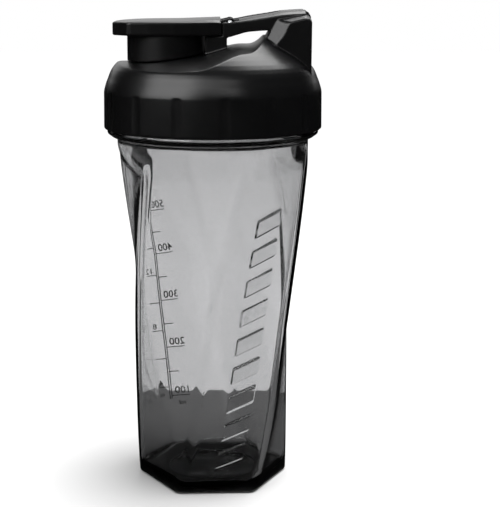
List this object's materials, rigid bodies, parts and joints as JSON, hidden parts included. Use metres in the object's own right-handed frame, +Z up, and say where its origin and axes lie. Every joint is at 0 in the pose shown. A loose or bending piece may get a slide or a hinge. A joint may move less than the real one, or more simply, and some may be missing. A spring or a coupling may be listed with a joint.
{
  "type": "protein shaker bottle",
  "caption": "Twisted six-sided clear drinks shaker with a black screw lid, moulded carry loop and hinged flip cap that plugs the spout.",
  "frame": {"origin": "centre of the bottle's flat base, on the surface it stands on", "axes": "+Z up along the bottle's axis; the spout and the flip cap's thumb tab point to -X, the loop's post to +X"},
  "size_m": [0.1059, 0.106, 0.2344],
  "materials": {
    "smoke_plastic": "clear smoke-grey moulded copolyester, polished",
    "black_plastic": "satin moulded polypropylene",
    "silicone": "matt moulded silicone",
    "pin_steel": "drawn stainless wire",
    "scale_ink": "pad-printed dark ink"
  },
  "bodies": {
    "bottle": {"bottle": "smoke_plastic"},
    "gasket": {"lid_gasket": "silicone"},
    "lid": {"lid_shell": "black_plastic", "hinge_pin_front": "pin_steel", "hinge_pin_back": "pin_steel"},
    "cap": {"flip_cap": "black_plastic", "spout_seal": "silicone"}
  },
  "joints": [
    {"name": "lid_lift", "type": "slide", "parent": "bottle", "child": "gasket", "axis": [0, 0, 1], "range_m": [0, 0.06]},
    {"name": "lid_turn", "type": "hinge", "parent": "gasket", "child": "lid", "pos_m": [0, 0, 0.2], "axis": [0, 0, 1], "range_deg": [0, 450]},
    {"name": "cap_hinge", "type": "hinge", "parent": "lid", "child": "cap", "pos_m": [0.0083, 0, 0.228], "axis": [0, 1, 0], "range_deg": [0, 125]}
  ]
}
